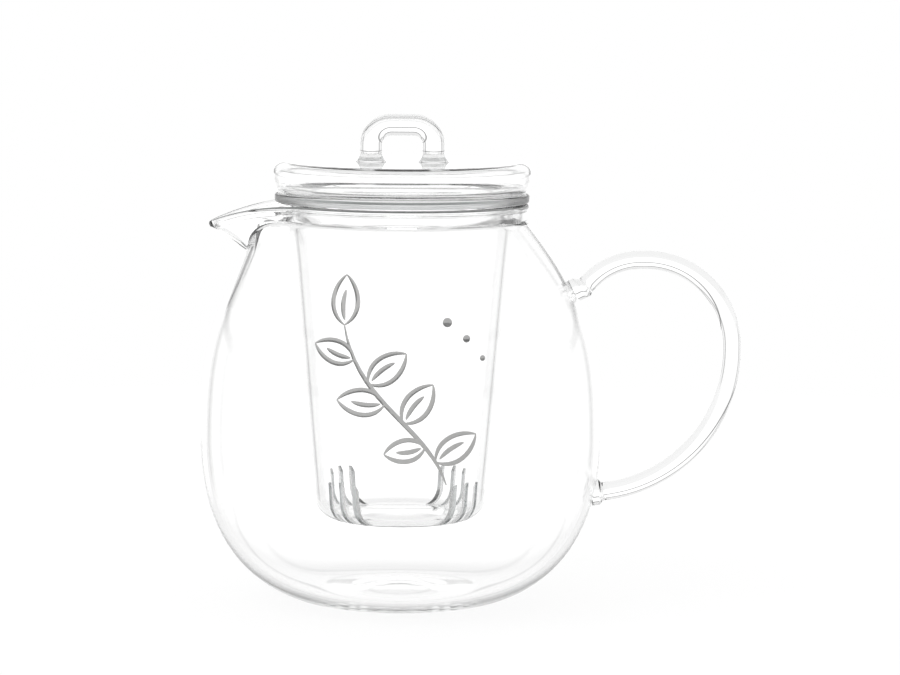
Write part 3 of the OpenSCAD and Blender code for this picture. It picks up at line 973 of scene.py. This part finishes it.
enamel = bpy.data.materials.new("grey_enamel")
enamel.use_nodes = True
n = Nodes(enamel.node_tree)
place = n.add("ShaderNodeTexCoord", out="Object")
cover = n.add("ShaderNodeTexNoise", None, place, Scale=GRAIN_SCALE, Detail=GRAIN_DETAIL)
tone = GRAIN_LOW + cover * GRAIN_RANGE
NUMBER_AND_VECTOR_SOCKETS = [None] * 5  # a Mix node's colours are its seventh and eighth sockets
colour = n.add("ShaderNodeMix", {"data_type": "RGBA", "blend_type": "MULTIPLY"}, 1.0,
               *NUMBER_AND_VECTOR_SOCKETS, ENAMEL_GREY, tone, out=2)
bump = n.add("ShaderNodeBump", None, Strength=GRAIN_BUMP, Distance=GRAIN_HEIGHT, Height=cover)
shader = n.add("ShaderNodeBsdfPrincipled", None, Base_Color=colour, Roughness=ENAMEL_ROUGHNESS, Normal=bump)
n.add("ShaderNodeOutputMaterial", None, shader)
print(enamel.name, "has", len(n.tree.nodes), "nodes")

# %% Brush strokes on the wall
ENAMEL_SUNK = 0.02      # how deep the middle of the enamel lies in the glass
ENAMEL_T = 0.05         # half its thickness
STROKE_W = 1.5
STROKE_STEPS = 18
STROKE_SIDES = 12
STROKE_SWELL = 0.75     # how much of its width a stroke loses at its ends


def on_front(x, z):
    """The place on the front of the wall that shows at x and z."""
    r = outer_radius(z) if z > belly_z else on_wall(z).x
    return Vector((x, -math.sqrt(r * r - x * x) + ENAMEL_SUNK, z)) * MM


def stroke(points):
    """A line through a curve's four points in front of the pot, wide in the middle."""
    p = [Vector(point) for point in points]
    places = [on_front(*bezier(p, i / STROKE_STEPS)) for i in range(STROKE_STEPS + 1)]
    made = []
    for i, here in enumerate(places):
        along = (places[min(i + 1, STROKE_STEPS)] - places[max(i - 1, 0)]).normalized()
        out = Vector((here.x, here.y, 0)).normalized()
        across = out.cross(along).normalized()
        lying = Matrix((across, along.cross(across).normalized(), along)).transposed().to_4x4()
        lying.translation = here
        half = STROKE_W / 2 * (1 - STROKE_SWELL * abs(2 * i / STROKE_STEPS - 1) ** 3)
        made.append((lying, (half * MM, ENAMEL_T * MM)))
    return sweep(made, STROKE_SIDES)

# %% One leaf
LEAF_BOW = 0.34         # half a leaf's width, as a share of its length
FULL_NEAR, FULL_FAR = 1.15, 0.85        # a leaf is fuller near its stalk
VEIN_BOW = 0.06


def leaf(root, length, heading):
    """Two curved sides and a short vein."""
    tip = root + polar(length, heading)
    made = []
    for side in (1, -1):
        bow = polar(length * LEAF_BOW, heading + 90 * side)
        near, far = root.lerp(tip, 0.25), root.lerp(tip, 0.75)
        made.append((root, near + bow * FULL_NEAR, far + bow * FULL_FAR, tip))
    vein = [root.lerp(tip, share) for share in (0.1, 0.3, 0.5, 0.7)]
    bow = polar(length * VEIN_BOW, heading + 90)
    made.append((vein[0], vein[1] + bow, vein[2] + bow, vein[3]))
    return made

# %% The spray of leaves
STEM = [Vector(point) for point in ((15, 47), (9, 66), (-13, 72), (-17, 96))]
LEAVES = ((0.14, 15, 34), (0.24, 13, 190), (0.42, 15, 52), (0.56, 15, 176),
          (0.7, 15, 38), (0.84, 13, 160), (1, 15, 88))      # along the stem, length, heading
DROPS = ((15, 97, 1.5), (21, 92, 1.2), (26, 86, 0.9))       # across, up, radius
DROP_AROUND, DROP_UP = 32, 16

strokes = [STEM]
for along, length, heading in LEAVES:
    strokes += leaf(bezier(STEM, along), length, heading)
print_bm = bmesh.new()
for points in strokes:
    one = stroke(points)
    mesh = bpy.data.meshes.new("stroke")
    one.to_mesh(mesh)
    one.free()
    print_bm.from_mesh(mesh)
    bpy.data.meshes.remove(mesh)
for x, z, r in DROPS:
    here = on_front(x, z)
    facing = Vector((here.x, here.y, 0)).to_track_quat("Z", "Y").to_matrix().to_4x4()
    place = Matrix.Translation(here) @ facing
    bmesh.ops.create_uvsphere(print_bm, u_segments=DROP_AROUND, v_segments=DROP_UP, radius=1,
                              matrix=place @ Matrix.Diagonal((r * MM, r * MM, ENAMEL_T * MM, 1)))
finish_piece("leaf_print", print_bm, "pot", [enamel], [])

# %% [markdown]
# ## Light paths
#
# A ray through the lid, the infuser and the pot crosses a dozen faces, and some of it turns round inside a
# rod. A ray that runs out of bounces goes black, so the limits are well above what is usual.

# %% Bounces
scene = bpy.context.scene
scene.cycles.max_bounces = 32
scene.cycles.transmission_bounces = 32
scene.cycles.glossy_bounces = 24
scene.cycles.transparent_max_bounces = 12
print("up to", scene.cycles.max_bounces, "bounces")
